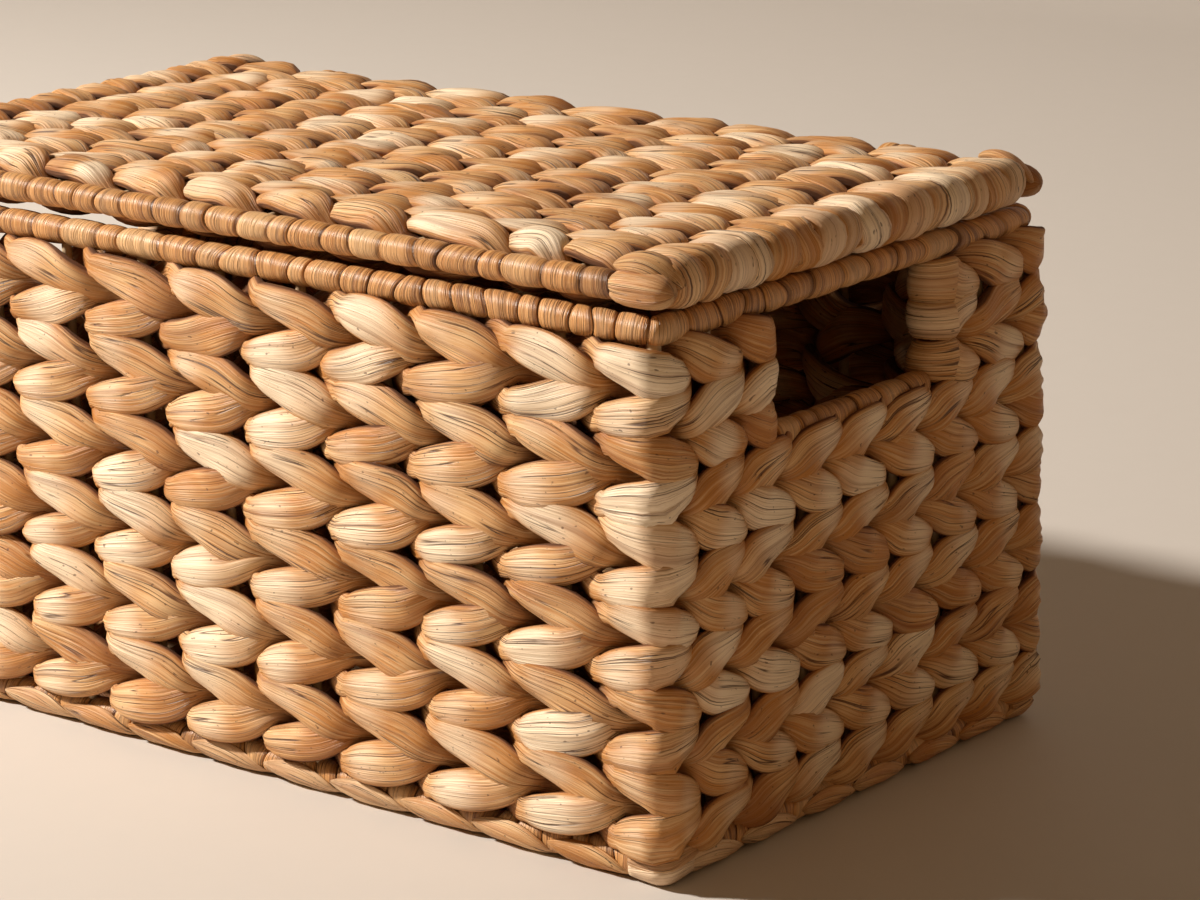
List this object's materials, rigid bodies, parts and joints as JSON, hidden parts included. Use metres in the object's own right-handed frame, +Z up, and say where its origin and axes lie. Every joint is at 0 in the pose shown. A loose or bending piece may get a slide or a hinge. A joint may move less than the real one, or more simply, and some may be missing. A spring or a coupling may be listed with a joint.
{
  "type": "woven lidded box",
  "caption": "Rectangular storage box twined from natural fibre over a rod frame, with a hinged woven lid and a cut-out handle in each end.",
  "frame": {"origin": "under the middle of the box, on the surface that it stands on", "axes": "+X along the length, +Y from the front to the hinged side, +Z up"},
  "size_m": [0.423, 0.2355, 0.2213],
  "materials": {
    "twined_strand": "dried fibrous stem, matte with a faint sheen",
    "wound_strip": "flattened strip wound tight, satin",
    "frame_rod": "coated rod, tan, satin"
  },
  "bodies": {
    "box": {"body_frame": "frame_rod", "floor_course_1": "twined_strand", "floor_course_2": "twined_strand", "floor_course_3": "twined_strand", "floor_course_4": "twined_strand", "floor_course_5": "twined_strand", "floor_course_6": "twined_strand", "floor_course_7": "twined_strand", "floor_course_8": "twined_strand", "base_border_wrap": "wound_strip", "wall_course_1_front": "twined_strand", "wall_course_1_back": "twined_strand", "wall_course_2": "twined_strand", "wall_course_3": "twined_strand", "wall_course_4": "twined_strand", "wall_course_5": "twined_strand", "wall_course_6": "twined_strand", "rim_wrap": "wound_strip", "handle_bar_wrap_left": "wound_strip", "handle_bar_wrap_right": "wound_strip", "hinge_loop_left": "twined_strand", "hinge_loop_right": "twined_strand"},
    "lid": {"lid_frame": "frame_rod", "lid_course_1": "twined_strand", "lid_course_2": "twined_strand", "lid_course_3": "twined_strand", "lid_course_4": "twined_strand", "lid_course_5": "twined_strand", "lid_course_6": "twined_strand", "lid_course_7": "twined_strand", "lid_course_8": "twined_strand", "lid_front_bar_wrap": "wound_strip", "lid_rear_bar_wrap": "wound_strip", "lid_corner_knot_front_left": "twined_strand", "lid_corner_knot_front_right": "twined_strand", "lid_corner_knot_rear_left": "twined_strand", "lid_corner_knot_rear_right": "twined_strand"}
  },
  "joints": [
    {"name": "lid_hinge", "type": "hinge", "parent": "box", "child": "lid", "pos_m": [0, 0.1095, 0.2106], "axis": [-1, 0, 0], "range_deg": [0, 105]}
  ]
}
